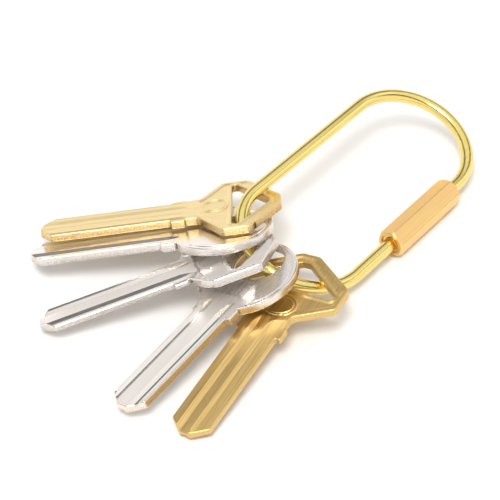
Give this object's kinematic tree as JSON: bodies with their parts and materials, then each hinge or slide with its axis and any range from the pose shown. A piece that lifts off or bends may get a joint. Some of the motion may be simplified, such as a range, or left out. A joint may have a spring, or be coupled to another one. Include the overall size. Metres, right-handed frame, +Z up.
{
  "type": "key ring",
  "caption": "Long wire key ring closed by a hexagonal screw sleeve, with key blanks fanned round one bend.",
  "frame": {"origin": "centre of the bounding box on the table that the part lies on", "axes": "+Z up from the table, +X along the loop's straight arms towards the free bend, away from the keys"},
  "size_m": [0.1235, 0.0732, 0.0172],
  "materials": {
    "wire_brass": "polished",
    "sleeve_brass": "satin, fine turned marks",
    "key_brass": "satin, worn edges",
    "key_nickel": "nickel plate, soft gloss"
  },
  "bodies": {
    "wire_loop": {"wire_loop": "wire_brass", "end_stop": "wire_brass"},
    "retaining_ring": {"retaining_ring": "sleeve_brass"},
    "hex_sleeve": {"hex_sleeve": "sleeve_brass"},
    "key_1": {"key_1": "key_brass"},
    "key_2": {"key_2": "key_nickel"},
    "key_3": {"key_3": "key_nickel"},
    "key_4": {"key_4": "key_nickel"},
    "key_5": {"key_5": "key_brass"}
  },
  "joints": [
    {"name": "sleeve_slide", "type": "slide", "parent": "wire_loop", "child": "retaining_ring", "axis": [-1, 0, 0], "range_m": [0, 0.008]},
    {"name": "sleeve_turn", "type": "hinge", "parent": "retaining_ring", "child": "hex_sleeve", "pos_m": [0.02374, -0.03031, 0.00365], "axis": [-1, 0, 0], "range_deg": [0, 5760]},
    {"name": "key_1_swing", "type": "hinge", "parent": "wire_loop", "child": "key_1", "pos_m": [-0.00754, 0.00014, 0.01259], "axis": [0.1487, 0.2905, 0.9453], "range_deg": [-20, 10]},
    {"name": "key_2_swing", "type": "hinge", "parent": "wire_loop", "child": "key_2", "pos_m": [-0.00872, -0.00582, 0.01208], "axis": [0.1458, 0.3073, 0.9404], "range_deg": [-6, 30]},
    {"name": "key_3_swing", "type": "hinge", "parent": "wire_loop", "child": "key_3", "pos_m": [-0.01307, -0.00884, 0.01034], "axis": [0.0671, 0.3944, 0.9165], "range_deg": [-1, 25]},
    {"name": "key_4_swing", "type": "hinge", "parent": "wire_loop", "child": "key_4", "pos_m": [-0.01261, -0.01565, 0.0087], "axis": [-0.1104, 0.2986, 0.948], "range_deg": [-6, 30]},
    {"name": "key_5_swing", "type": "hinge", "parent": "wire_loop", "child": "key_5", "pos_m": [-0.01094, -0.0222, 0.00644], "axis": [-0.1261, 0.1501, 0.9806], "range_deg": [-1, 30]}
  ],
  "couplings": [
    {"joint": "sleeve_turn", "follows": "sleeve_slide", "rad_per_m": 12566}
  ]
}
